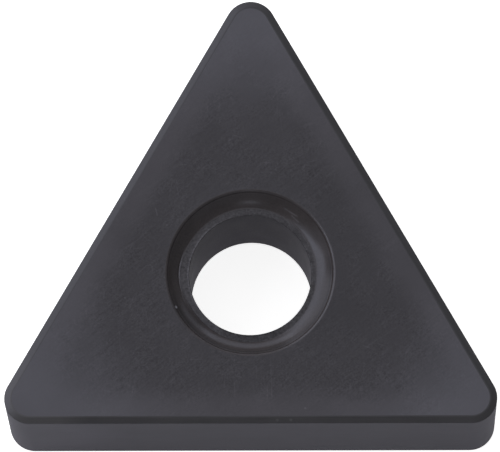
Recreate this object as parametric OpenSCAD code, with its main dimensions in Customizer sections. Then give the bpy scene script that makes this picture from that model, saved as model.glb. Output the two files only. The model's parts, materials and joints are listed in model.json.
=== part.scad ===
// Triangular turning insert of black ceramic, for use on either face.
// It is one pressed and ground piece: three straight sides, three round noses,
// a land ground along every cutting edge, and a hole with a recess at each end.
// The origin is at the centre of the lower seat face, on the axis of the hole.
// One side faces -Y and one nose points to +Y.

/* [Blank] */
// Diameter of the circle that touches all three sides
inscribed_d = 9.525; // [6.5:0.005:19.05]
// Thickness from seat face to seat face
thickness = 4.76; // [2:0.01:9.52]
// Radius of the three noses at the cutting edge
nose_r = 0.8; // [0.4:0.1:2.4]

/* [Cutting edge] */
// Width of the land, measured along the seat face
land_w = 0.2; // [0.05:0.01:0.35]
// Angle at which the land falls away from the seat face
land_angle = 20; // [10:1:45]

/* [Hole] */
// Diameter of the straight bore
bore_d = 3.81; // [2.5:0.01:4.2]
// Outer diameter of the flat ledge around the mouth of the bore
ledge_d = 4.32; // [3.9:0.01:4.8]
// Diameter of the recess where it meets the seat face
rim_d = 5.22; // [4.8:0.01:6.2]
// Depth of the ledge below the seat face
recess_depth = 0.35; // [0.1:0.01:0.6]
// Radius of the hollow curve between the ledge and the rim
dish_r = 1; // [0.5:0.05:3]

/* [Hidden] */
$fn = 128;
sides = 3;
turn = 360 / sides;
// distance from the hole's axis to each side
apothem = inscribed_d / 2;
// distance from the hole's axis to the centre of each nose
nose_centre = (apothem - nose_r) / cos(turn / 2);
// distance from the hole's axis to the sharp corner that the nose replaces
sharp_corner = apothem / cos(turn / 2);
land_drop = land_w * tan(land_angle);
// the noses stand this far proud, so that their arcs cross the walls cleanly
nose_proud = 0.0001;
ledge_r = ledge_d / 2;
rim_r = rim_d / 2;
// how far a cutting solid runs past the face that it opens
past = 0.1;

// The dish is an arc through the ledge's outer edge and the rim. Its centre lies
// above the middle of the chord between those two points, on the open side.
dish_w = rim_r - ledge_r;
dish_chord = norm([dish_w, recess_depth]);
dish_rise = sqrt(dish_r * dish_r - dish_chord * dish_chord / 4);
dish_centre = [
    (ledge_r + rim_r) / 2 - dish_rise * recess_depth / dish_chord,
    dish_rise * dish_w / dish_chord - recess_depth / 2
];

// Section from an inner line out to the wall, with a land at both corners.
// The wall is at x = reach, and the seat faces are at y = 0 and y = thickness.
module edge_section(inner, reach) {
    polygon([
        [inner, 0],
        [reach - land_w, 0],
        [reach, land_drop],
        [reach, thickness - land_drop],
        [reach - land_w, thickness],
        [inner, thickness]
    ]);
}

// Everything on the inner side of one straight wall, which faces -Y
module wall_side() {
    rotate([90, 0, -90])
        translate([0, 0, -sharp_corner * 2])
            linear_extrude(height = sharp_corner * 4)
                edge_section(-sharp_corner, apothem);
}

// Prism that takes the sharp corners away. From each nose centre it has two
// lines square to the walls, which cross them where the nose's arc begins.
module between_noses() {
    reach = nose_r + past;
    translate([0, 0, -past])
        linear_extrude(height = thickness + 2 * past)
            polygon([
                for (i = [0 : sides - 1])
                    let (facing = 90 + i * turn, centre = nose_centre * [cos(facing), sin(facing)])
                        each [
                            centre + reach * [cos(facing - turn / 2), sin(facing - turn / 2)],
                            centre,
                            centre + reach * [cos(facing + turn / 2), sin(facing + turn / 2)]
                        ]
            ]);
}

// One nose, pointing to +Y: a round wall whose lands are cones
module nose() {
    translate([0, nose_centre, 0])
        rotate_extrude() edge_section(0, nose_r + nose_proud);
}

module blank() {
    intersection() {
        intersection_for(i = [0 : sides - 1])
            rotate(i * turn) wall_side();
        between_noses();
    }
    for (i = [0 : sides - 1])
        rotate(i * turn) nose();
}

// Half section of the open space above the ledge, with the seat face at y = 0
module recess_section() {
    translate([0, -recess_depth]) square([ledge_r, recess_depth + past]);
    intersection() {
        translate(dish_centre) circle(r = dish_r);
        translate([ledge_r, -recess_depth]) square([dish_w + dish_r, recess_depth + past]);
    }
}

module hole() {
    translate([0, 0, -past]) cylinder(d = bore_d, h = thickness + 2 * past);
    translate([0, 0, thickness]) rotate_extrude() recess_section();
    mirror([0, 0, 1]) rotate_extrude() recess_section();
}

module insert() {
    color([0.26, 0.26, 0.29])
        difference() {
            blank();
            hole();
        }
}

insert();
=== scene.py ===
import json
import math

import bpy
from mathutils import Euler, Matrix, Vector


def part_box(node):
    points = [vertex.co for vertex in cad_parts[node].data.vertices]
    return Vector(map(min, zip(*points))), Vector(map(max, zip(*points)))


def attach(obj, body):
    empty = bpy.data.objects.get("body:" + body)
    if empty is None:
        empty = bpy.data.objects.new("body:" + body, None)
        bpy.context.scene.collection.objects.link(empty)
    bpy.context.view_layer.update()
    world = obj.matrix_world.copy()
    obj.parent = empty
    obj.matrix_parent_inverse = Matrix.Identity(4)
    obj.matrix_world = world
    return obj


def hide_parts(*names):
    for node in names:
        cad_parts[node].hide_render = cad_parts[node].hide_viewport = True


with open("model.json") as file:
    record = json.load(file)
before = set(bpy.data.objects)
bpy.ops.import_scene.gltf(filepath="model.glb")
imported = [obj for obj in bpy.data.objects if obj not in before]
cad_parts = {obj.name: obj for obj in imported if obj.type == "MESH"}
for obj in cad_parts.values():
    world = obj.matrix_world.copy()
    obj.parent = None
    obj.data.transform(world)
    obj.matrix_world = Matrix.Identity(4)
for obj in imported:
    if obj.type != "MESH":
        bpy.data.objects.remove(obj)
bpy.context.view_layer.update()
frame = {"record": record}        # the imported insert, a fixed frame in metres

mm = 0.001  # sizes below are in millimetres until a mesh is made
white = (1, 1, 1, 1)
noiseMiddle = 0.5  # noise and the colours of random cells lie round this value


def flatWay(degrees):
    # across and along a unit step, turned by this much from +X
    angle = math.radians(degrees)
    return math.cos(angle), math.sin(angle)


def wayTo(azimuth, elevation):
    across, along = flatWay(azimuth)
    level, up = flatWay(elevation)
    return Vector((across * level, along * level, up))


# Node helpers

nodeSheet = {"across": 10, "width": 200, "height": 260}  # how nodes are laid out in the editor


def addNode(tree, kind, **settings):
    node = tree.nodes.new(kind)
    row, column = divmod(len(tree.nodes), nodeSheet["across"])
    node.location = (nodeSheet["width"] * column, -nodeSheet["height"] * row)
    for name, value in settings.items():
        setattr(node, name, value)
    return node


def plug(tree, value, socket):
    if isinstance(value, bpy.types.NodeSocket):
        tree.links.new(value, socket)
    else:
        socket.default_value = value


def calc(tree, operation, *values):
    node = addNode(tree, "ShaderNodeMath", operation=operation)
    for value, socket in zip(values, node.inputs):
        plug(tree, value, socket)
    return node.outputs[0]


def calcVector(tree, operation, first, second=None, output="Vector"):
    node = addNode(tree, "ShaderNodeVectorMath", operation=operation)
    plug(tree, first, node.inputs[0])
    if second is not None:
        plug(tree, second, node.inputs["Scale" if operation == "SCALE" else 1])
    return node.outputs[output]


def addSway(tree, noise, weight, base):
    # moves the base up and down with the noise
    return calc(tree, "MULTIPLY_ADD", calc(tree, "SUBTRACT", noise, noiseMiddle), weight, base)


def fade(tree, value, start, end, low=0.0, high=1.0):
    node = addNode(tree, "ShaderNodeMapRange", interpolation_type="SMOOTHSTEP")
    for socket, given in zip(node.inputs, (value, start, end, low, high)):
        plug(tree, given, socket)
    return node.outputs[0]


def mixColours(tree, amount, first, second, blend="MIX"):
    node = addNode(tree, "ShaderNodeMix", data_type="RGBA", blend_type=blend)
    plug(tree, amount, node.inputs["Factor"])
    sockets = [socket for socket in node.inputs if socket.type == "RGBA"]
    for colour, socket in zip((first, second), sockets):
        plug(tree, colour, socket)
    return next(socket for socket in node.outputs if socket.type == "RGBA")


def addNoise(tree, place, **settings):
    node = addNode(tree, "ShaderNodeTexNoise")
    plug(tree, place, node.inputs["Vector"])
    for name, value in settings.items():
        plug(tree, value, node.inputs[name])
    return node.outputs


def turnFlat(tree, value, angle):
    node = addNode(tree, "ShaderNodeVectorRotate", rotation_type="Z_AXIS")
    plug(tree, value, node.inputs["Vector"])
    plug(tree, angle, node.inputs["Angle"])
    return node.outputs[0]


def split(tree, kind, value):
    node = addNode(tree, kind)
    plug(tree, value, node.inputs[0])
    return node.outputs


def startGroup(name, inputs, outputs):
    group = bpy.data.node_groups.new(name, "ShaderNodeTree")
    for label, kind, value in inputs:
        socket = group.interface.new_socket(name=label, in_out="INPUT", socket_type="NodeSocket" + kind)
        if value is not None:
            socket.default_value = value
    for label in outputs:
        group.interface.new_socket(name=label, in_out="OUTPUT", socket_type="NodeSocketFloat")
    inside = addNode(group, "NodeGroupInput").outputs
    outside = addNode(group, "NodeGroupOutput").inputs
    return group, inside, outside


def useGroup(tree, group, place, values):
    node = addNode(tree, "ShaderNodeGroup", node_tree=group)
    plug(tree, place, node.inputs["Place"])
    for name, value in values.items():
        plug(tree, value, node.inputs[name])
    return node.outputs


# The insert's section and rings

insertMake = {
    "landWidth": 0.2,      # along the seat face
    "landAngle": 20,       # degrees below the seat face
    "ledgeRadius": 2.145,  # outer edge of the flat ledge in the recess
    "rimRadius": 2.61,     # where the recess meets the seat face
    "dishRadius": 1.0,     # hollow curve between ledge and rim
    "noseRadius": 0.8,     # at the cutting edge
    "landBlend": 0.2,      # rounding between land and seat face
    "edgeHone": 0.025,     # rounding of the cutting edge
    "dishEnd": 2.45,       # the dish gives way to a narrow shoulder here
    "shoulderEnd": 2.56,   # and a low step takes that up to the rim
    "shoulderAngle": 41,   # degrees
    "shoulderRound": 0.015,
    "rimRound": 0.095,
    "rimReach": 0.285,     # the hole's rings begin this far outside the rim
    "footRound": 0.25,     # between ledge and dish
    "ledgeCrown": 0.008,   # how far the ledge rises towards the bore
    "grooveStart": 2.135,  # fine groove at the foot of the dish
    "grooveEnd": 2.19,
    "lipWidth": 0.055,     # low lip at the mouth of the bore
    "lipHeight": 0.012,
    "lipFoot": 0.03,       # rounding where it rises from the ledge
    "lipRound": 0.015,
    "rimLean": (-0.008, 0.018),    # how far the rim and the bore sit off the axis
    "boreLean": (-0.015, -0.0025),
    # forms on one side: the degrees from +X that each faces, how narrow it is, and its size
    "groove": (180, 10, 0.022),
    "shoulderDip": (-90, 3, 0.0186),  # how far the shoulder's outer end sinks
    "ledgeMoves": ((180, 16, 0.08), (10, 1, -0.075), (125, 4, -0.035), (-145, 8, -0.04)),  # outwards
    "noseSteps": 36,
    "sideSteps": 60,
    "dishSteps": 18,
    "roundSteps": 10,
    "faceRings": 8,
    "guard": 0.01,         # a ring this far past each rounding keeps the flats flat
    "fineGuard": 0.003,    # and in the hole
}

sides = 3
turnAngle = 360 / sides
firstNose = 90  # degrees, so that a nose points to +Y

low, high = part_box("insert")
boreMount = next(mount for mount in frame["record"]["mounts"] if mount["name"] == "bore")
thickness = high.z / mm
apothem = -low.y / mm  # from the hole's axis to each wall
noseRadius = insertMake["noseRadius"]
boreRadius = boreMount["dims"]["r_mm"]
recessDepth = (thickness - boreMount["dims"]["length_mm"]) / 2


def roundedLine(corners, guard, steps):
    # each corner is (across, up, rounding radius); an arc goes there, with a point just past each end
    points = [corners[0][:2]]
    for before, here, after in zip(corners, corners[1:], corners[2:]):
        corner, radius = Vector(here[:2]), here[2]
        if radius == 0:
            points.append(tuple(corner))
            continue
        inward = (Vector(before[:2]) - corner).normalized()
        onward = (Vector(after[:2]) - corner).normalized()
        half = inward.angle(onward) / 2  # half the angle inside the corner
        reach = radius / math.tan(half)
        centre = corner + (inward + onward).normalized() * radius / math.sin(half)
        first = corner + inward * reach - centre
        last = corner + onward * reach - centre
        turn = first.angle(last)
        points.append(tuple(corner + inward * (reach + guard)))
        for step in range(steps + 1):
            share = step / steps
            arm = (first * math.sin((1 - share) * turn) + last * math.sin(share * turn)) / math.sin(turn)
            points.append(tuple(centre + arm))
        points.append(tuple(corner + onward * (reach + guard)))
    points.append(corners[-1][:2])
    return points


def outerLine(make):
    drop = make["landWidth"] * math.tan(math.radians(make["landAngle"]))
    corners = [
        (0, thickness / 2, 0),
        (0, thickness - drop, make["edgeHone"]),
        (make["landWidth"], thickness, make["landBlend"]),
        (2 * make["landWidth"], thickness, 0),
    ]
    return roundedLine(corners, make["guard"], make["roundSteps"])


def outerFinish(make, number):
    # the land begins in the middle of the hone and ends with the rounding to the seat face
    landStart = 2 + make["roundSteps"] // 2
    landEnd = 2 * make["roundSteps"] + 5
    return "wall" if number < landStart else "land" if number < landEnd else "seat"


def holeLine(make):
    ledge, rim, radius = make["ledgeRadius"], make["rimRadius"], make["dishRadius"]
    width = rim - ledge
    chord = math.hypot(width, recessDepth)
    centreRise = math.sqrt(radius ** 2 - chord ** 2 / 4)  # from the chord to the dish's centre
    centreR = (ledge + rim) / 2 - centreRise * recessDepth / chord
    centreZ = thickness - recessDepth / 2 + centreRise * width / chord
    ledgeZ = thickness - recessDepth
    crownZ = ledgeZ + make["ledgeCrown"]
    ledgeAngle = math.atan2(ledgeZ - centreZ, ledge - centreR)
    endAngle = -math.acos((make["dishEnd"] - centreR) / radius)
    endZ = centreZ + radius * math.sin(endAngle)
    shoulderRise = (make["shoulderEnd"] - make["dishEnd"]) * math.tan(math.radians(make["shoulderAngle"]))
    corners = [
        (rim + make["rimReach"], thickness, 0),
        (rim, thickness, make["rimRound"]),
        (make["shoulderEnd"], endZ + shoulderRise, make["shoulderRound"]),
    ]
    footReach = make["footRound"] * math.tan((math.pi / 2 + ledgeAngle) / 2)
    # the dish's arc, down to where the rounding at its foot begins
    for step in range(make["dishSteps"]):
        angle = endAngle + (ledgeAngle - endAngle) * step / make["dishSteps"]
        across = centreR + radius * math.cos(angle)
        if across > ledge + footReach + 2 * make["guard"]:
            corners.append((across, centreZ + radius * math.sin(angle), 0))
    corners.append((ledge, ledgeZ, make["footRound"]))
    corners.append((boreRadius + make["lipWidth"], crownZ, make["lipFoot"]))
    corners.append((boreRadius, crownZ + make["lipHeight"], make["lipRound"]))
    corners.append((boreRadius, thickness / 2, 0))
    return roundedLine(corners, make["fineGuard"], make["roundSteps"])


def holeFinish(make, radius):
    if radius > make["rimRadius"] + make["rimRound"]:
        return "seat"
    if radius > make["ledgeRadius"]:
        return "dish"
    return "ledge" if radius > boreRadius + make["fineGuard"] else "bore"


def onSide(form, c, s):
    # the form's full size on its own side, down to nothing a quarter turn away
    facing, narrowness, size = form
    return size * max(0, math.cos(math.atan2(s, c) - math.radians(facing))) ** narrowness


def holeDip(make, radius, c, s):
    # the groove slopes down outwards, then comes up twice as steeply
    start, end = make["grooveStart"], make["grooveEnd"]
    width = end - start
    groove = (radius - start) / width if radius < end else 1 - 2 * (radius - end) / width
    # the shoulder sinks towards its outer end, and the step above it reaches the rim all the same
    start, end, rim = make["dishEnd"], make["shoulderEnd"], make["rimRadius"]
    shoulder = (radius - start) / (end - start) if radius < end else (rim - radius) / (rim - end)
    dip = max(0, groove) * onSide(make["groove"], c, s)
    return dip + max(0, shoulder) * onSide(make["shoulderDip"], c, s)


def holeSpread(make, radius, c, s):
    # how far a ring's point moves outwards, and the ring's shift off the axis
    ledge, rim = make["ledgeRadius"], make["rimRadius"]
    if radius > ledge:
        share, lean = max(0, (rim - radius) / (rim - ledge)), make["rimLean"]
    else:
        share, lean = (radius - boreRadius) / (ledge - boreRadius), make["boreLean"]
    return share * sum(onSide(move, c, s) for move in make["ledgeMoves"]), lean


def wallPoints(make):
    # the point that the wall is offset from, and the way outwards, all round the outline
    facings = [firstNose + turnAngle * side for side in range(sides)]
    reach = (apothem - noseRadius) / math.cos(math.radians(turnAngle / 2))
    centres = [Vector(flatWay(facing)) * reach for facing in facings]
    points = []
    for side, facing in enumerate(facings):
        for step in range(make["noseSteps"]):
            out = flatWay(facing - turnAngle / 2 + turnAngle * step / make["noseSteps"])
            points.append((centres[side], Vector(out)))
        out = Vector(flatWay(facing + turnAngle / 2))
        for step in range(make["sideSteps"]):
            share = step / make["sideSteps"]
            points.append((centres[side].lerp(centres[(side + 1) % sides], share), out))
    return points


def upperRings(make):
    # from the middle of the wall, over the seat face and into the bore; each ring with its finish
    wall = wallPoints(make)
    firstSpoke = firstNose - 180 * make["noseSteps"] / len(wall)
    spokes = [flatWay(firstSpoke + 360 * k / len(wall)) for k in range(len(wall))]
    rings = []
    for number, (inset, z) in enumerate(outerLine(make)):
        ring = [base + out * (noseRadius - inset) for base, out in wall]
        rings.append(([(point.x, point.y, z) for point in ring], outerFinish(make, number)))
    hole = holeLine(make)
    seatEdge, holeStart = rings[-1][0], hole[0][0]
    for step in range(1, make["faceRings"]):
        share = step / make["faceRings"]
        ring = [(x + (holeStart * c - x) * share, y + (holeStart * s - y) * share, z)
                for (x, y, z), (c, s) in zip(seatEdge, spokes)]
        rings.append((ring, "seat"))
    for radius, z in hole:
        ring = []
        for c, s in spokes:
            spread, (leanX, leanY) = holeSpread(make, radius, c, s)
            reach = radius + spread
            ring.append((reach * c + leanX, reach * s + leanY, z - holeDip(make, radius, c, s)))
        rings.append((ring, holeFinish(make, radius)))
    return rings


def makeInsertMesh(make, finishes):
    upper = upperRings(make)
    # the lower face mirrors the upper one, and they share their first and last rings
    lower = [([(x, y, thickness - z) for x, y, z in ring], finish) for ring, finish in upper[-2:0:-1]]
    rings = upper + lower
    count = len(upper[0][0])
    names = list(finishes)
    vertices, faces, slots = [], [], []
    for number, (ring, finish) in enumerate(rings):
        vertices += [(x * mm, y * mm, z * mm) for x, y, z in ring]
        following = (number + 1) % len(rings)
        # a strip takes the finish of the ring nearer the wall, on both faces
        if number >= len(upper) - 1:
            finish = rings[following][1]
        near, far = number * count, following * count
        for k in range(count):
            n = (k + 1) % count
            faces.append((near + k, near + n, far + n, far + k))
            slots.append(names.index(finish))
    mesh = bpy.data.meshes.new("insertBody")
    mesh.from_pydata(vertices, [], faces)
    for name in names:
        mesh.materials.append(finishes[name])
    mesh.polygons.foreach_set("material_index", slots)
    mesh.polygons.foreach_set("use_smooth", [True] * len(faces))
    mesh.update()
    return mesh


# Effects that the finishes share

def makeEdgeNearness():
    group, inside, outside = startGroup(
        "edgeNearness",
        [("Place", "Vector", None), ("Apothem", "Float", 4.76), ("Centre", "Vector", None),
         ("Waver Scale", "Float", 0.9), ("Band Waver", "Float", 0.4), ("Corner Waver", "Float", -0.6),
         ("Band Start", "Float", 1.35), ("Band Full", "Float", 0.45),
         ("Corner Start", "Float", 4.4), ("Corner Full", "Float", 8.2)],
        ["Band", "Corner"],
    )
    waver = addNoise(group, inside["Place"], Scale=inside["Waver Scale"], Detail=3.0)[0]
    facing = []
    for side in range(sides):
        wall = (*flatWay(firstNose + turnAngle * (side - 0.5)), 0)
        facing.append(calcVector(group, "DOT_PRODUCT", inside["Place"], wall, "Value"))
    nearest = calc(group, "MAXIMUM", calc(group, "MAXIMUM", facing[0], facing[1]), facing[2])
    distance = calc(group, "SUBTRACT", inside["Apothem"], nearest)
    away = calcVector(group, "SUBTRACT", inside["Place"], inside["Centre"])
    radius = calcVector(group, "LENGTH", calcVector(group, "MULTIPLY", away, (1, 1, 0)), None, "Value")
    band = addSway(group, waver, inside["Band Waver"], distance)
    corner = addSway(group, waver, inside["Corner Waver"], radius)
    plug(group, fade(group, band, inside["Band Start"], inside["Band Full"]), outside["Band"])
    plug(group, fade(group, corner, inside["Corner Start"], inside["Corner Full"]), outside["Corner"])
    return group


def makeGrindingLines():
    group, inside, outside = startGroup(
        "grindingLines",
        [("Place", "Vector", None), ("Turn", "Float", 0.0), ("Spread", "Vector", (1, 20, 20)),
         ("Detail", "Float", 3.0), ("Roughness", "Float", 0.62), ("Bend", "Float", 0.0),
         ("Bend Scale", "Float", 1.7)],
        ["Lines"],
    )
    bends = addNoise(group, inside["Place"], Scale=inside["Bend Scale"])["Color"]
    away = calcVector(group, "SUBTRACT", bends, (noiseMiddle, noiseMiddle, noiseMiddle))
    bent = calcVector(group, "ADD", inside["Place"], calcVector(group, "SCALE", away, inside["Bend"]))
    stretched = calcVector(group, "MULTIPLY", turnFlat(group, bent, inside["Turn"]), inside["Spread"])
    lines = addNoise(group, stretched, Scale=1.0, Detail=inside["Detail"], Roughness=inside["Roughness"])
    plug(group, lines[0], outside["Lines"])
    return group


def makeHairScratches():
    group, inside, outside = startGroup(
        "hairScratches",
        [("Place", "Vector", None), ("Cell", "Float", 1.0), ("Lean", "Float", 0.8),
         ("Scatter", "Float", 0.6), ("Width", "Float", 0.012), ("Length", "Float", 0.4),
         ("Solid", "Float", 0.3), ("Bow", "Float", 0.15), ("Share", "Float", 0.5),
         ("Shift", "Float", 0.0)],
        ["Scratch"],
    )
    moved = calcVector(group, "ADD", inside["Place"], inside["Shift"])
    flat = calcVector(group, "MULTIPLY", moved, (1, 1, 0))
    cells = addNode(group, "ShaderNodeTexVoronoi", voronoi_dimensions="2D")
    plug(group, flat, cells.inputs["Vector"])
    plug(group, calc(group, "DIVIDE", 1.0, inside["Cell"]), cells.inputs["Scale"])
    # chance sets the angle and length of the one scratch in a cell, and whether it is there
    chance = split(group, "ShaderNodeSeparateColor", cells.outputs["Color"])
    away = calcVector(group, "SUBTRACT", flat, cells.outputs["Position"])
    scatter = calc(group, "MULTIPLY", inside["Scatter"], -2.0)  # turned back, by up to the scatter each way
    angle = addSway(group, chance[0], scatter, calc(group, "MULTIPLY", inside["Lean"], -1.0))
    parts = split(group, "ShaderNodeSeparateXYZ", turnFlat(group, away, angle))
    bow = calc(group, "MULTIPLY", calc(group, "MULTIPLY", parts[0], parts[0]), inside["Bow"])
    across = calc(group, "ABSOLUTE", calc(group, "SUBTRACT", parts[1], bow))
    along = calc(group, "ABSOLUTE", parts[0])
    line = fade(group, across, inside["Width"], 0.0)
    run = calc(group, "MULTIPLY", inside["Length"], chance[1])
    ends = fade(group, along, run, calc(group, "MULTIPLY", run, inside["Solid"]))
    kept = calc(group, "LESS_THAN", chance[2], inside["Share"])
    plug(group, calc(group, "MULTIPLY", calc(group, "MULTIPLY", line, ends), kept), outside["Scratch"])
    return group


def makeCeramicGrain():
    group, inside, outside = startGroup(
        "ceramicGrain",
        [("Place", "Vector", None), ("Size", "Float", 0.05), ("Cloud", "Float", 1.5),
         ("Speck Density", "Float", 0.12), ("Speck Radius", "Float", 0.08), ("Speck Core", "Float", 0.03),
         ("Speck Share", "Float", 0.06)],
        ["Grain", "Cloudiness", "Specks"],
    )
    fine = addNoise(group, inside["Place"], Scale=calc(group, "DIVIDE", 1.0, inside["Size"]), Detail=2.0)
    clouds = addNoise(group, inside["Place"], Scale=calc(group, "DIVIDE", 1.0, inside["Cloud"]), Detail=4.0)
    dots = addNode(group, "ShaderNodeTexVoronoi")
    plug(group, inside["Place"], dots.inputs["Vector"])
    plug(group, calc(group, "DIVIDE", inside["Speck Density"], inside["Size"]), dots.inputs["Scale"])
    chance = split(group, "ShaderNodeSeparateColor", dots.outputs["Color"])
    near = fade(group, dots.outputs["Distance"], inside["Speck Radius"], inside["Speck Core"])
    kept = calc(group, "LESS_THAN", chance[0], inside["Speck Share"])
    plug(group, fine[0], outside["Grain"])
    plug(group, clouds[0], outside["Cloudiness"])
    plug(group, calc(group, "MULTIPLY", near, kept), outside["Specks"])
    return group


def makeSpot():
    group, inside, outside = startGroup(
        "spot",
        [("Place", "Vector", None), ("Centre", "Vector", None), ("Radius", "Float", 0.05),
         ("Solid", "Float", 0.5)],
        ["Spot"],
    )
    away = calcVector(group, "DISTANCE", inside["Place"], inside["Centre"], "Value")
    core = calc(group, "MULTIPLY", inside["Radius"], inside["Solid"])
    plug(group, fade(group, away, inside["Radius"], core), outside["Spot"])
    return group


def makeMark():
    group, inside, outside = startGroup(
        "mark",
        [("Place", "Vector", None), ("Centre", "Vector", None), ("Degrees", "Float", 0.0),
         ("Length", "Float", 0.3), ("Width", "Float", 0.02), ("Solid", "Float", 0.6),
         ("Depth", "Float", 1.0)],
        ["Mark"],
    )
    away = calcVector(group, "SUBTRACT", inside["Place"], inside["Centre"])
    turnBack = calc(group, "MULTIPLY", inside["Degrees"], -math.radians(1))  # lays the mark level
    parts = split(group, "ShaderNodeSeparateXYZ", turnFlat(group, away, turnBack))
    along, across, below = (calc(group, "ABSOLUTE", part) for part in parts)
    half = calc(group, "MULTIPLY", inside["Length"], 0.5)
    run = fade(group, along, half, calc(group, "MULTIPLY", half, inside["Solid"]))
    line = fade(group, across, inside["Width"], 0.0)
    here = calc(group, "LESS_THAN", below, inside["Depth"])  # keeps the mark off the other face
    plug(group, calc(group, "MULTIPLY", calc(group, "MULTIPLY", run, line), here), outside["Mark"])
    return group


def makeRingLine():
    group, inside, outside = startGroup(
        "ringLine",
        [("Place", "Vector", None), ("Radius", "Float", 2.6), ("Width", "Float", 0.05),
         ("Facing", "Vector", None), ("From", "Float", -2.0), ("Full", "Float", -1.5)],
        ["Line"],
    )
    flat = calcVector(group, "MULTIPLY", inside["Place"], (1, 1, 0))
    radius = calcVector(group, "LENGTH", flat, None, "Value")
    away = calc(group, "ABSOLUTE", calc(group, "SUBTRACT", radius, inside["Radius"]))
    line = fade(group, away, inside["Width"], 0.0)
    side = calcVector(group, "DOT_PRODUCT", calcVector(group, "NORMALIZE", flat), inside["Facing"], "Value")
    part = fade(group, side, inside["From"], inside["Full"])
    plug(group, calc(group, "MULTIPLY", line, part), outside["Line"])
    return group


effects = {
    "edges": makeEdgeNearness(),
    "spot": makeSpot(),
    "mark": makeMark(),
    "ring": makeRingLine(),
    "lines": makeGrindingLines(),
    "hairs": makeHairScratches(),
    "grain": makeCeramicGrain(),
}
print("shared effects made:", ", ".join(group.name for group in effects.values()))


# Finishes

def startFinish(name):
    material = bpy.data.materials.new(name)
    material.use_nodes = True
    tree = material.node_tree
    shader = tree.nodes["Principled BSDF"]
    coordinates = addNode(tree, "ShaderNodeTexCoord")
    place = calcVector(tree, "SCALE", coordinates.outputs["Object"], 1 / mm)
    return material, tree, shader, place


def setBody(tree, shader, look, colour, tone, roughness, height):
    grey = addNode(tree, "ShaderNodeCombineColor")
    for socket in grey.inputs[:3]:
        plug(tree, tone, socket)
    plug(tree, mixColours(tree, 1.0, colour, grey.outputs[0], "MULTIPLY"), shader.inputs["Base Color"])
    plug(tree, roughness, shader.inputs["Roughness"])
    bump = addNode(tree, "ShaderNodeBump")
    plug(tree, look["relief"] * mm, bump.inputs["Distance"])
    plug(tree, height, bump.inputs["Height"])
    plug(tree, bump.outputs[0], shader.inputs["Normal"])
    shader.inputs["IOR"].default_value = look["ior"]
    shader.inputs["Specular Tint"].default_value = (*look["sheenTint"], 1)


shapeValues = {
    "spot": ("Centre", "Radius"),
    "mark": ("Centre", "Degrees", "Length", "Width"),
    # From and Full are the cosines of the angles from Facing at which the line begins and is full
    "ring": ("Radius", "Width", "Facing", "From", "Full"),
}


def addShapes(tree, place, kind, shapes, base):
    # each shape is the values named above and then its strength, how much it adds to the base
    for *values, strength in shapes:
        shape = useGroup(tree, effects[kind], place, dict(zip(shapeValues[kind], values)))[0]
        base = calc(tree, "MULTIPLY_ADD", shape, strength, base)
    return base


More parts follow.
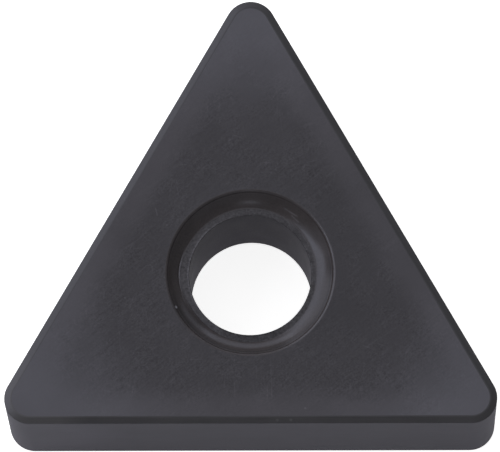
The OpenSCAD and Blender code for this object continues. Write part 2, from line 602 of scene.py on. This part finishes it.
seatLook = {
    "centre": (0.0266, 0.0256, 0.0291, 1),  # ground face round the hole
    "rubbed": (0.043, 0.0412, 0.0475, 1),   # lighter colour along the edges
    # lighter and bluer towards the corners
    "corner": (0.069, 0.069, 0.082, 1),
    # the corner tone grows with the distance from Centre, and noise moves it and the lighter band along the
    # edges
    "edges": {"Centre": (0.4, 0.2, 0), "Band Waver": 0.48, "Corner Waver": -0.72},
    "grain": {"Size": 0.055, "Cloud": 1.6},
    "hairs": {"Cell": 0.45, "Lean": 0.7, "Scatter": 1.1, "Width": 0.03, "Length": 0.3, "Share": 0.55},
    "longHairs": {"Cell": 1.9, "Lean": 1.3, "Scatter": 1.4, "Width": 0.02, "Length": 1.3, "Share": 0.35,
                  "Shift": 7.3},
    # ground strokes: the turn that lays them level, how many a millimetre each way, bend and weight
    "strokes": [
        (-0.68, (0.9, 16, 1), 0.15, 0.34),
        (-0.6, (3.5, 16, 1), 0.6, 0.3),
        (-1.95, (4, 17, 1), 0.6, 0.2),
        (-1.5, (4, 19, 1), 0.6, 0.2),
    ],
    "strokeDetail": 2.0,
    # the texture comes and goes in patches, and these spots show less or more of it
    "patches": {"Scale": 1.3, "Detail": 2.0},
    "patchFade": (0.33, 0.67, 0.55, 1.45),
    "texture": [((3.6, 0.4), 3.4, -0.28), ((-0.5, -3.4), 2.6, 0.12), ((0.4, 5.7), 1.8, -0.35)],
    "bandSmooth": 0.74,    # how much of the texture is rubbed off along the edges
    "cornerSmooth": 0.93,
    # light specks, then painted light and shade in softly lighter and darker places
    "spots": [
        ((-3.91, -0.78), 0.045, 0.7),
        ((-2.61, 1.54), 0.045, 0.6),
        ((1.7, -4.3), 0.045, 0.7),
        ((3.3, 0.6), 3.6, -0.1),
        ((0.4, 5.2), 1.7, 0.12),
        ((-3.9, 2.3), 1.8, -0.09),
        ((-7.0, -3.6), 2.6, -0.05),
        ((-3.4, 0.2), 1.7, -0.06),
        ((2.9, 3.2), 1.5, -0.06),
        ((2.7, -1.4), 1.4, -0.06),
        ((-4.7, -3.2), 1.3, -0.06),
    ],
    # single scratches
    "marks": [
        ((-2.94, 1.96), 105, 0.32, 0.035, 0.85),
        ((-3.36, 0.135), 45, 0.36, 0.03, 0.45),
        ((-3.195, 0.25), 10, 0.2, 0.03, 0.45),
        ((-3.09, 0.227), -40, 0.16, 0.03, 0.45),
        ((-3.065, 0.135), 105, 0.18, 0.03, 0.4),
        ((-3.73, 0.92), 35, 0.95, 0.045, 0.25),
        ((-4.29, -0.07), 40, 0.6, 0.045, 0.3),
        ((0.93, 5.0), 98, 2.6, 0.03, 0.16),
        ((4.3, -1.9), 33, 2.2, 0.03, 0.16),
        ((0.64, -3.35), 92, 1.5, 0.03, 0.45),
        ((0.52, -3.65), 91, 0.9, 0.03, 0.36),
        ((0.18, -3.15), 90, 0.5, 0.03, 0.33),
        ((-0.5, -3.65), 90, 0.45, 0.03, 0.3),
    ],
    "strokeTone": 2.15,    # how much each effect moves the tone
    "grainTone": 1.15,
    "cloudTone": 0.35,
    "hairTone": 0.32,
    "speckTone": 0.8,
    "roughCentre": 0.42,
    "roughEdge": 0.36,
    "strokeRough": 0.2,
    "relief": 0.0016,
    "grainHeight": 0.4,    # beside the strokes' height of 1
    "hairDepth": 0.35,
    "ior": 1.45,
    "sheenTint": (0.92, 0.9, 1.0),
}


def onSeat(shapes):
    return [((*centre, thickness), *values) for centre, *values in shapes]


def makeSeatFinish(look):
    material, tree, shader, place = startFinish("groundSeat")
    near = useGroup(tree, effects["edges"], place, {"Apothem": apothem, **look["edges"]})
    grain = useGroup(tree, effects["grain"], place, look["grain"])
    strokes = 0.0
    for turn, spread, bend, weight in look["strokes"]:
        values = {"Turn": turn, "Spread": spread, "Bend": bend, "Detail": look["strokeDetail"]}
        lines = useGroup(tree, effects["lines"], place, values)[0]
        strokes = calc(tree, "MULTIPLY_ADD", lines, weight, strokes)
    shortHairs = useGroup(tree, effects["hairs"], place, look["hairs"])[0]
    longHairs = useGroup(tree, effects["hairs"], place, look["longHairs"])[0]
    hairs = calc(tree, "ADD", shortHairs, longHairs)
    # how much of the texture shows, and what is rubbed smooth
    patches = fade(tree, addNoise(tree, place, **look["patches"])[0], *look["patchFade"])
    showing = addShapes(tree, place, "spot", onSeat(look["texture"]), patches)
    smoothBand = calc(tree, "MULTIPLY", near["Band"], look["bandSmooth"])
    smoothCorner = calc(tree, "MULTIPLY", near["Corner"], look["cornerSmooth"])
    smooth = calc(tree, "MAXIMUM", smoothBand, smoothCorner)
    showing = calc(tree, "MULTIPLY", showing, calc(tree, "SUBTRACT", 1.0, smooth))
    colour = mixColours(tree, near["Band"], look["centre"], look["rubbed"])
    colour = mixColours(tree, near["Corner"], colour, look["corner"])
    # the tone is 1 where nothing moves it
    tone = addSway(tree, strokes, look["strokeTone"], 0.0)
    tone = addSway(tree, grain["Grain"], look["grainTone"], tone)
    tone = calc(tree, "MULTIPLY_ADD", tone, showing, 1.0)
    tone = addSway(tree, grain["Cloudiness"], look["cloudTone"], tone)
    for shape, weight in ((hairs, look["hairTone"]), (grain["Specks"], look["speckTone"])):
        tone = calc(tree, "MULTIPLY_ADD", calc(tree, "MULTIPLY", shape, showing), weight, tone)
    # light specks, and painted light and shade in soft spots
    tone = addShapes(tree, place, "spot", onSeat(look["spots"]), tone)
    tone = addShapes(tree, place, "mark", onSeat(look["marks"]), tone)
    rubbed = calc(tree, "MAXIMUM", near["Band"], near["Corner"])
    roughStep = look["roughEdge"] - look["roughCentre"]
    roughness = calc(tree, "MULTIPLY_ADD", rubbed, roughStep, look["roughCentre"])
    roughness = addSway(tree, strokes, look["strokeRough"], roughness)
    height = calc(tree, "MULTIPLY_ADD", grain["Grain"], look["grainHeight"], strokes)
    height = calc(tree, "MULTIPLY", height, showing)
    height = calc(tree, "SUBTRACT", height, calc(tree, "MULTIPLY", hairs, look["hairDepth"]))
    setBody(tree, shader, look, colour, tone, roughness, height)
    return material


groundLook = {             # for the walls and the lands
    "grain": {"Size": 0.04, "Cloud": 0.9},
    "strokeDetail": 4.0,
    "strokeTone": 0.5,
    "grainTone": 0.3,
    "cloudTone": 0.3,
    "strokeRough": 0.2,
    "grainHeight": 0.3,
}

landLook = {
    **groundLook,
    "body": (0.040, 0.039, 0.040, 1),
    "rough": 0.37,
    "relief": 0.0006,
    "ior": 1.45,
    "sheenTint": (0.83, 0.84, 0.99),
    "strokes": (0.5, 0.5, 60),  # how many a millimetre
    # painted light at the left end, and two specks on the front
    "spots": [
        ((-7.4, -4.7, 4.7), 2.6, 0.45),
        ((0.83, -4.66, 4.72), 0.06, 0.5),
        ((1.25, -4.66, 4.72), 0.06, 0.7),
    ],
}

wallLook = {
    **groundLook,
    "body": (0.0295, 0.0288, 0.036, 1),
    "rough": 0.7,
    "relief": 0.0008,
    "ior": 1.245,
    "sheenTint": (0.88, 0.87, 1.0),
    "strokes": (0.6, 0.6, 16),
    # painted reflection lighter at the left end, and two nicks in the front cutting edge
    "spots": [
        ((-7.6, -4.76, 2.6), 4.2, 0.6),
        ((-2.24, -4.76, 4.67), 0.055, -0.8),
        ((-2.12, -4.76, 4.68), 0.045, -0.6),
    ],
}


def makeGroundFinish(name, look):
    material, tree, shader, place = startFinish(name)
    grain = useGroup(tree, effects["grain"], place, look["grain"])
    values = {"Spread": look["strokes"], "Detail": look["strokeDetail"]}
    lines = useGroup(tree, effects["lines"], place, values)[0]
    tone = addSway(tree, lines, look["strokeTone"], 1.0)
    tone = addSway(tree, grain["Grain"], look["grainTone"], tone)
    tone = addSway(tree, grain["Cloudiness"], look["cloudTone"], tone)
    # the spots paint light at the left end, and add specks or nicks
    tone = addShapes(tree, place, "spot", look["spots"], tone)
    roughness = addSway(tree, lines, look["strokeRough"], look["rough"])
    height = calc(tree, "MULTIPLY_ADD", grain["Grain"], look["grainHeight"], lines)
    setBody(tree, shader, look, look["body"], tone, roughness, height)
    return material


pressedLook = {            # for the recess and the bore, which were left as they were pressed
    "ior": 1.45,
    "grain": {"Size": 0.06, "Cloud": 0.7},
    "cloudTone": 0.5,
    "cloudRough": 0.12,
    "specks": 0.25,
    "worn": (0.3, 0.3, 0.34, 1),  # chalky colour of specks and scratches, and of the painted highlight lines
    "spots": [],
    "marks": [],
    # lines of painted highlight and painted light round the hole
    "rings": [],
    "softSpots": [],       # painted shade: softly darker places, and below, darker rings
    "softRings": [],
}

paintedFootHighlight = (2.222, 0.03, (-1, 0, 0), 0.88, 0.97, 0.12)  # painted highlight along the groove, on dish and ledge

dishLook = {
    **pressedLook,
    "body": (0.040, 0.034, 0.0343, 1),
    "rough": 0.225,
    "relief": 0.0008,
    "sheenTint": (0.8, 0.855, 1.0),
    "grainTone": 0.5,
    "spots": [((-2.313, -1.062, 4.695), 0.065, 0.8)],
    "marks": [((1.25, 1.98, 4.6), -33, 0.6, 0.035, 0.12), ((1.39, 1.78, 4.6), -45, 0.4, 0.035, 0.1)],
    # painted light all round the rim edge, and the painted highlight along the groove
    "rings": [(2.6, 0.07, (0, 0, 0), -2, -1.5, 0.042), paintedFootHighlight],
    # painted shade: a darker patch on the lower left of the recess, and a darker ring near the rim at the
    # front
    "softSpots": [((-1.95, -1.15, 4.6), 0.9, -0.15)],
    "softRings": [(2.49, 0.065, (0.3, -0.95, 0), -0.3, 0.4, -0.37)],
}

ledgeLook = {
    **pressedLook,
    "body": (0.030, 0.0292, 0.032, 1),
    "rough": 0.42,
    "relief": 0.003,
    "sheenTint": (0.92, 0.9, 1.0),
    "grainTone": 3.0,
    "rings": [
        paintedFootHighlight,
        (1.917, 0.04, (0.95, -0.3, 0), 0.4, 0.85, 0.1),    # these two are painted highlights along the lip
        (1.955, 0.045, (-0.95, 0.3, 0), 0.6, 0.9, 0.07),
    ],
    # painted shade on the front of the ledge
    "softSpots": [((0.1, -2.2, 4.41), 1.4, -0.4)],
}

boreLook = {
    **pressedLook,
    "body": (0.028, 0.0255, 0.034, 1),
    "rough": 0.55,
    "relief": 0.003,
    "ior": 1.12,
    "sheenTint": (0.84, 0.82, 1.0),
    "grainTone": 1.2,
    "specks": 0.2,
    # painted shade on the left of the bore wall
    "softSpots": [((-1.9, 0.1, 3.6), 1.3, -0.5)],
}


def makePressedFinish(name, look):
    material, tree, shader, place = startFinish(name)
    grain = useGroup(tree, effects["grain"], place, look["grain"])
    tone = addSway(tree, grain["Grain"], look["grainTone"], 1.0)
    tone = addSway(tree, grain["Cloudiness"], look["cloudTone"], tone)
    # painted shade darkens the tone
    tone = addShapes(tree, place, "spot", look["softSpots"], tone)
    tone = addShapes(tree, place, "ring", look["softRings"], tone)
    worn = calc(tree, "MULTIPLY", grain["Specks"], look["specks"])
    worn = addShapes(tree, place, "mark", look["marks"], worn)
    # painted highlight and light along the rings
    worn = addShapes(tree, place, "ring", look["rings"], worn)
    worn = addShapes(tree, place, "spot", look["spots"], worn)
    colour = mixColours(tree, worn, look["body"], look["worn"])
    roughness = addSway(tree, grain["Cloudiness"], look["cloudRough"], look["rough"])
    setBody(tree, shader, look, colour, tone, roughness, grain["Grain"])
    return material


finishes = {
    "wall": makeGroundFinish("groundWall", wallLook),
    "land": makeGroundFinish("groundLand", landLook),
    "seat": makeSeatFinish(seatLook),
    "dish": makePressedFinish("pressedDish", dishLook),
    "ledge": makePressedFinish("pressedLedge", ledgeLook),
    "bore": makePressedFinish("pressedBore", boreLook),
}
print("finishes made:", ", ".join(material.name for material in finishes.values()))

insert = bpy.data.objects.new("insert_body", makeInsertMesh(insertMake, finishes))
bpy.context.scene.collection.objects.link(insert)
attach(insert, "root")
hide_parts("insert")
print("insert made:", len(insert.data.polygons), "faces")


# Camera, from the photograph's viewing angle

cameraSetup = {
    "azimuth": -86.93,     # degrees, round the hole's axis from +X
    "elevation": 77.703,   # above the table
    "roll": -3.15,
    "distance": 235.4,     # from the point aimed at
    "scale": 32.039,       # pixels for each millimetre at that point
    "aim": (-0.017, 1.495),  # on the upper seat face
    "frameWidth": 500,     # pixels
    "sensor": 36,
    "clipStart": 10,
}


def makeCamera(setup):
    data = bpy.data.cameras.new("camera")
    data.sensor_width = setup["sensor"]
    data.lens = setup["scale"] * setup["distance"] * setup["sensor"] / setup["frameWidth"]
    data.clip_start = setup["clipStart"] * mm
    camera = bpy.data.objects.new("camera", data)
    aim = Vector((*setup["aim"], thickness))
    camera.location = (aim + wayTo(setup["azimuth"], setup["elevation"]) * setup["distance"]) * mm
    tilt, around, roll = (math.radians(setup[key]) for key in ("elevation", "azimuth", "roll"))
    # at the aim with the horizon level, and then rolled
    level = Euler((math.pi / 2 - tilt, 0, around + math.pi / 2)).to_matrix()
    camera.rotation_euler = (level @ Matrix.Rotation(roll, 3, "Z")).to_euler()
    bpy.context.scene.collection.objects.link(camera)
    bpy.context.scene.camera = camera


makeCamera(cameraSetup)


# Floor, lamps and world

studio = {
    "floorSize": 4.0,          # metres
    "floorDrop": 0.01,         # millimetres below the insert
    "floorColour": (0.9, 0.9, 0.9, 1),
    "floorRoughness": 0.9,
    "floorLift": 0.85,         # white added where the floor is seen directly or in a reflection
    "mirroredFloor": (0.975, 0.955, 1.035, 1),  # and its colour in a reflection
    "worldLevel": 0.24,
    "lampDistance": 0.9,       # metres
    "cool": (0.95, 0.95, 1.0),
    "plain": (1.0, 1.0, 1.0),
    # name: azimuth and elevation it shines from, width and height in metres, brightness, colour
    "lamps": {
        "left": (153, 49.5, 0.96, 0.64, 1.87, "cool"),
        "leftLow": (139, 19, 0.86, 0.36, 1.25, "cool"),
        "leftFar": (184, 28, 0.6, 0.5, 0.34, "cool"),
        "leftEnd": (196, 55, 0.3, 0.4, 0.7, "cool"),
        "back": (90, 23, 0.95, 0.36, 1.2, "cool"),
        "right": (52, 20, 0.4, 0.25, 0.66, "cool"),
        "front": (-91, 44, 0.14, 0.12, 2.2, "plain"),
        "frontLow": (-70, 20, 1.1, 0.36, 0.1, "plain"),
        "overhead": (80, 80, 0.6, 0.6, 0.75, "plain"),
    },
}


def makeFloor(setup):
    half = setup["floorSize"] / 2
    mesh = bpy.data.meshes.new("floor")
    corners = [(-half, -half, 0), (half, -half, 0), (half, half, 0), (-half, half, 0)]
    mesh.from_pydata(corners, [], [(0, 1, 2, 3)])
    floor = bpy.data.objects.new("floor", mesh)
    floor.location.z = -setup["floorDrop"] * mm
    bpy.context.scene.collection.objects.link(floor)
    material = bpy.data.materials.new("paleFloor")
    material.use_nodes = True
    tree = material.node_tree
    shader = tree.nodes["Principled BSDF"]
    shader.inputs["Base Color"].default_value = setup["floorColour"]
    shader.inputs["Roughness"].default_value = setup["floorRoughness"]
    path = addNode(tree, "ShaderNodeLightPath").outputs
    seen = calc(tree, "MAXIMUM", path["Is Camera Ray"], path["Is Glossy Ray"])
    seen = calc(tree, "MAXIMUM", seen, path["Is Transmission Ray"])
    shine = mixColours(tree, path["Is Camera Ray"], setup["mirroredFloor"], white)
    plug(tree, shine, shader.inputs["Emission Color"])
    plug(tree, calc(tree, "MULTIPLY", seen, setup["floorLift"]), shader.inputs["Emission Strength"])
    mesh.materials.append(material)


def makeLamps(setup):
    for name, (azimuth, elevation, width, height, level, colour) in setup["lamps"].items():
        data = bpy.data.lights.new(name, "AREA")
        data.shape = "RECTANGLE"
        data.size = width
        data.size_y = height
        data.color = setup[colour]
        data.energy = level * math.pi * width * height  # any size of lamp looks equally bright
        lamp = bpy.data.objects.new(name, data)
        way = wayTo(azimuth, elevation)
        lamp.location = way * setup["lampDistance"]
        lamp.rotation_euler = way.to_track_quat("Z", "Y").to_euler()
        bpy.context.scene.collection.objects.link(lamp)


def makeWorld(setup):
    world = bpy.data.worlds.new("studio")
    world.use_nodes = True
    tree = world.node_tree
    background = tree.nodes["Background"]
    background.inputs["Color"].default_value = white
    camera = addNode(tree, "ShaderNodeLightPath").outputs["Is Camera Ray"]
    # white where the camera sees it, and dimmer as light on the insert
    strength = calc(tree, "MULTIPLY_ADD", camera, 1 - setup["worldLevel"], setup["worldLevel"])
    plug(tree, strength, background.inputs["Strength"])
    bpy.context.scene.world = world


makeFloor(studio)
makeLamps(studio)
makeWorld(studio)
bpy.context.scene.view_settings.view_transform = "Standard"
print("camera, floor, lamps and world made")
